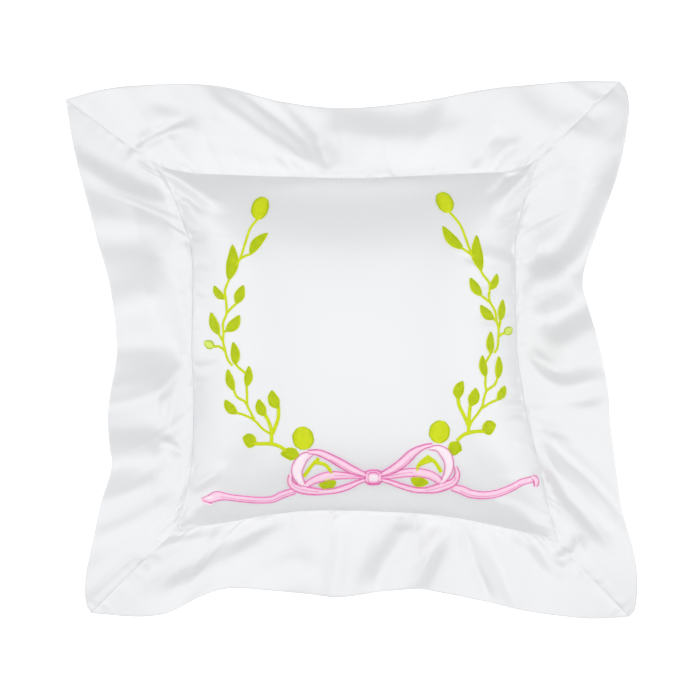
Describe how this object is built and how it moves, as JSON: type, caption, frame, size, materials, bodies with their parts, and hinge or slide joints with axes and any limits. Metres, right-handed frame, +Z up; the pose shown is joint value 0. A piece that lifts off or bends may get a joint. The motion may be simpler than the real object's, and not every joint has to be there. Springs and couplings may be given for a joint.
{
  "type": "ring bearer pillow",
  "caption": "Square satin ring bearer pillow lying flat, with a stuffed middle, a wavy mitred flange and an embroidered bow between leafy sprays.",
  "frame": {"origin": "on the surface the pillow rests on, under the middle of the flange's outline", "axes": "+X to the right of the embroidered design, +Y to its top, +Z up out of the embroidered face"},
  "size_m": [0.3404, 0.32, 0.0625],
  "materials": {
    "satin": "glossy woven satin",
    "white_thread": "sewing thread",
    "green_thread": "satin-stitched embroidery thread",
    "pink_thread": "satin-stitched embroidery thread",
    "pale_pink_thread": "satin-stitched embroidery thread",
    "muslin": "plain weave",
    "fibre_fill": "loose polyester fibre",
    "stabiliser": "non-woven"
  },
  "bodies": {
    "root": {"front_panel": "satin", "back_panel_upper": "satin", "back_panel_lower": "satin", "front_flange_top": "satin", "back_flange_top": "satin", "front_flange_right": "satin", "back_flange_right": "satin", "front_flange_bottom": "satin", "back_flange_bottom": "satin", "front_flange_left": "satin", "back_flange_left": "satin", "pocket_stitching_top": "white_thread", "pocket_stitching_right": "white_thread", "pocket_stitching_bottom": "white_thread", "pocket_stitching_left": "white_thread", "insert_cover_top": "muslin", "insert_cover_bottom": "muslin", "insert_fill": "fibre_fill", "embroidery_stabiliser": "stabiliser", "wreath_left_upper": "green_thread", "wreath_left_lower": "green_thread", "wreath_left_broad_leaf": "green_thread", "wreath_left_side_leaf": "green_thread", "wreath_left_loop_stems": "green_thread", "wreath_left_loop_leaf": "green_thread", "wreath_right_upper": "green_thread", "wreath_right_lower": "green_thread", "wreath_right_broad_leaf": "green_thread", "wreath_right_side_leaf": "green_thread", "wreath_right_loop_stems": "green_thread", "wreath_right_loop_leaf": "green_thread", "bow_left_tail": "pink_thread", "bow_left_middle_band": "pink_thread", "bow_left_lower_band": "pink_thread", "bow_left_turn": "pale_pink_thread", "bow_left_upper_band": "pink_thread", "bow_right_tail": "pink_thread", "bow_right_middle_band": "pink_thread", "bow_right_lower_band": "pink_thread", "bow_right_turn": "pale_pink_thread", "bow_right_upper_band": "pink_thread", "bow_knot": "pale_pink_thread"}
  },
  "joints": []
}
